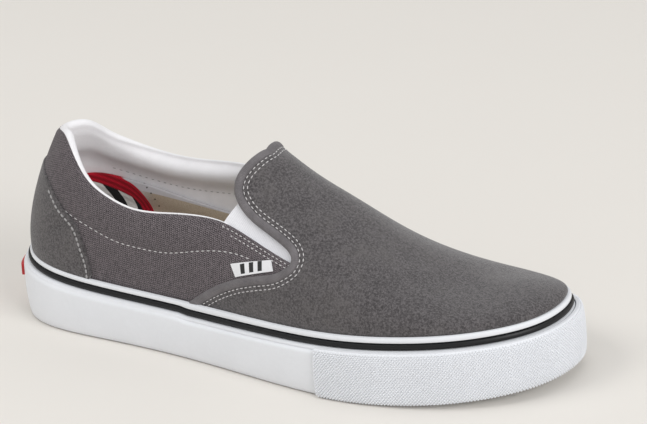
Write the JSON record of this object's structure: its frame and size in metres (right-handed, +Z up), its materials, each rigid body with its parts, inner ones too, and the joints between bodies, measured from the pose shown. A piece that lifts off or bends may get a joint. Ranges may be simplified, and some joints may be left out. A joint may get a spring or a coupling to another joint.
{
  "type": "slip-on sneaker",
  "caption": "Low slip-on sneaker with a bound vamp tab, elastic side gussets, padded collar and a flat rubber sidewall with toe bumper.",
  "frame": {"origin": "middle of the footprint, on the ground", "axes": "+X to the toe, +Z up, -Y to the outer side of the right foot"},
  "size_m": [0.294, 0.102, 0.0965],
  "materials": {
    "outsole_rubber": "matt moulded rubber",
    "white_rubber": "satin vulcanised rubber",
    "black_rubber": "glossy rubber tape",
    "red_rubber": "satin rubber",
    "grey_suede": "suede and canvas",
    "white_elastic": "ribbed elastic and woven tape",
    "insole_cloth": "cloth covered foam"
  },
  "bodies": {
    "root": {"sole": "outsole_rubber", "foxing": "white_rubber", "foxing_stripe": "black_rubber", "foxing_top_band": "white_rubber", "toe_bumper": "white_rubber", "heel_label": "red_rubber", "upper": "grey_suede", "vamp_binding": "grey_suede", "heel_counter": "grey_suede", "gore_outer": "white_elastic", "gore_inner": "white_elastic", "insole": "insole_cloth", "side_tag": "white_elastic"}
  },
  "joints": []
}
